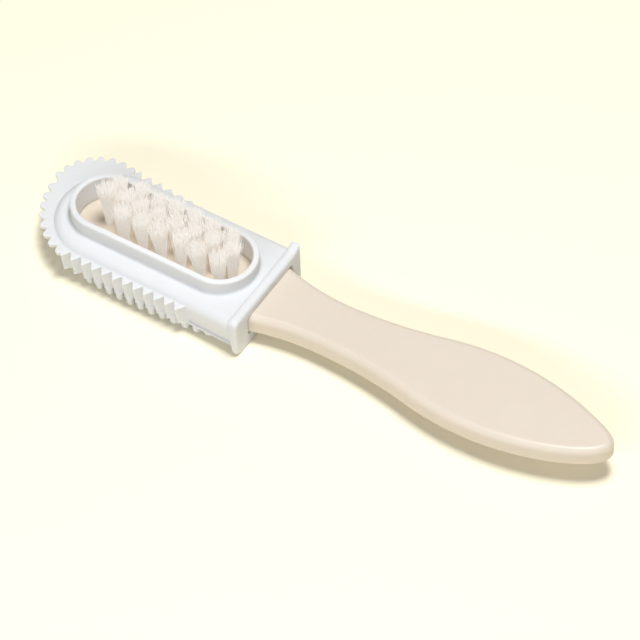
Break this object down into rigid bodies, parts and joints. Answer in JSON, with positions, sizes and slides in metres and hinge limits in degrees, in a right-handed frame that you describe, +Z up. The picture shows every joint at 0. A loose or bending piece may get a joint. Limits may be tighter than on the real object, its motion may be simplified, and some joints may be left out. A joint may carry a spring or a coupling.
{
  "type": "handled scrub brush",
  "caption": "Hand scrub brush with a flat paddle grip, rows of short nylon tufts and a removable ribbed rubber boot round its head.",
  "frame": {"origin": "centre of the brush's outline, on the surface that it rests on, under the boot's fins", "axes": "+X along the brush towards the end of the grip, +Y across it, +Z up towards the bristle tips"},
  "size_m": [0.1933, 0.0401, 0.0246],
  "materials": {
    "handle_plastic": "satin moulded plastic, warm beige",
    "boot_rubber": "matte white moulded rubber",
    "nylon": "translucent off-white nylon filament",
    "anchor_metal": "plain rolled wedge"
  },
  "bodies": {
    "root": {"handle": "handle_plastic", "boot": "boot_rubber", "tuft_anchors": "anchor_metal", "tuft_near_1": "nylon", "tuft_near_2": "nylon", "tuft_near_3": "nylon", "tuft_near_4": "nylon", "tuft_near_5": "nylon", "tuft_near_6": "nylon", "tuft_middle_1": "nylon", "tuft_middle_2": "nylon", "tuft_middle_3": "nylon", "tuft_middle_4": "nylon", "tuft_middle_5": "nylon", "tuft_middle_6": "nylon", "tuft_middle_7": "nylon", "tuft_middle_8": "nylon", "tuft_far_1": "nylon", "tuft_far_2": "nylon", "tuft_far_3": "nylon", "tuft_far_4": "nylon", "tuft_far_5": "nylon", "tuft_far_6": "nylon", "tuft_far_7": "nylon"}
  },
  "joints": []
}
